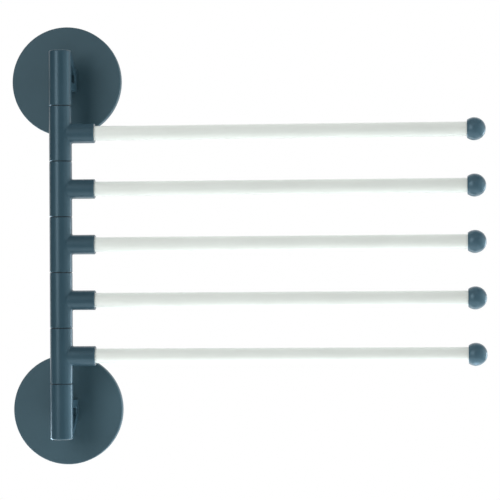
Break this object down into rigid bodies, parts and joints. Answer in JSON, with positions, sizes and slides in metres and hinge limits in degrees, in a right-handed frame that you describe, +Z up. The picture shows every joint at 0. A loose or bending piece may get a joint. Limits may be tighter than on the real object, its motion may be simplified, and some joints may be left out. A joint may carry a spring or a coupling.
{
  "type": "swing arm towel bar",
  "caption": "Wall-mounted towel rack: white arms with ball ends swivel one by one on an upright blue-grey column that round wall discs carry.",
  "frame": {"origin": "centre of the lower wall pad's back face, on the wall", "axes": "+X along the arms at rest, level with the wall; +Y into the wall; +Z up"},
  "size_m": [0.3794, 0.047, 0.352],
  "materials": {
    "blue_grey_plastic": "satin",
    "white_rod_enamel": "gloss",
    "shaft_steel": "satin",
    "fastener_zinc": "satin",
    "insert_brass": "satin",
    "washer_nylon": "matte",
    "anchor_plate_plastic": "matte",
    "pad_foam": "matte"
  },
  "bodies": {
    "wall_frame": {"column_shaft": "shaft_steel", "joint_washer_1": "washer_nylon", "joint_washer_2": "washer_nylon", "joint_washer_3": "washer_nylon", "joint_washer_4": "washer_nylon", "joint_washer_5": "washer_nylon", "joint_washer_6": "washer_nylon", "lower_wall_pad": "pad_foam", "lower_anchor_plate": "anchor_plate_plastic", "lower_wall_stud": "fastener_zinc", "lower_wall_disc": "blue_grey_plastic", "lower_holder": "blue_grey_plastic", "lower_thread_insert": "insert_brass", "lower_shaft_screw": "fastener_zinc", "lower_end_plug": "blue_grey_plastic", "upper_wall_pad": "pad_foam", "upper_anchor_plate": "anchor_plate_plastic", "upper_wall_stud": "fastener_zinc", "upper_wall_disc": "blue_grey_plastic", "upper_holder": "blue_grey_plastic", "upper_thread_insert": "insert_brass", "upper_shaft_screw": "fastener_zinc", "upper_end_plug": "blue_grey_plastic"},
    "arm_1": {"arm_collar_1": "blue_grey_plastic", "arm_rod_1": "white_rod_enamel", "arm_ball_1": "blue_grey_plastic"},
    "arm_2": {"arm_collar_2": "blue_grey_plastic", "arm_rod_2": "white_rod_enamel", "arm_ball_2": "blue_grey_plastic"},
    "arm_3": {"arm_collar_3": "blue_grey_plastic", "arm_rod_3": "white_rod_enamel", "arm_ball_3": "blue_grey_plastic"},
    "arm_4": {"arm_collar_4": "blue_grey_plastic", "arm_rod_4": "white_rod_enamel", "arm_ball_4": "blue_grey_plastic"},
    "arm_5": {"arm_collar_5": "blue_grey_plastic", "arm_rod_5": "white_rod_enamel", "arm_ball_5": "blue_grey_plastic"}
  },
  "joints": [
    {"name": "arm_1_swing", "type": "hinge", "parent": "wall_frame", "child": "arm_1", "pos_m": [0, -0.038, 0.22], "axis": [0, 0, 1], "range_deg": [-180, 0]},
    {"name": "arm_2_swing", "type": "hinge", "parent": "wall_frame", "child": "arm_2", "pos_m": [0, -0.038, 0.176], "axis": [0, 0, 1], "range_deg": [-180, 0]},
    {"name": "arm_3_swing", "type": "hinge", "parent": "wall_frame", "child": "arm_3", "pos_m": [0, -0.038, 0.132], "axis": [0, 0, 1], "range_deg": [-180, 0]},
    {"name": "arm_4_swing", "type": "hinge", "parent": "wall_frame", "child": "arm_4", "pos_m": [0, -0.038, 0.088], "axis": [0, 0, 1], "range_deg": [-180, 0]},
    {"name": "arm_5_swing", "type": "hinge", "parent": "wall_frame", "child": "arm_5", "pos_m": [0, -0.038, 0.044], "axis": [0, 0, 1], "range_deg": [-180, 0]}
  ]
}
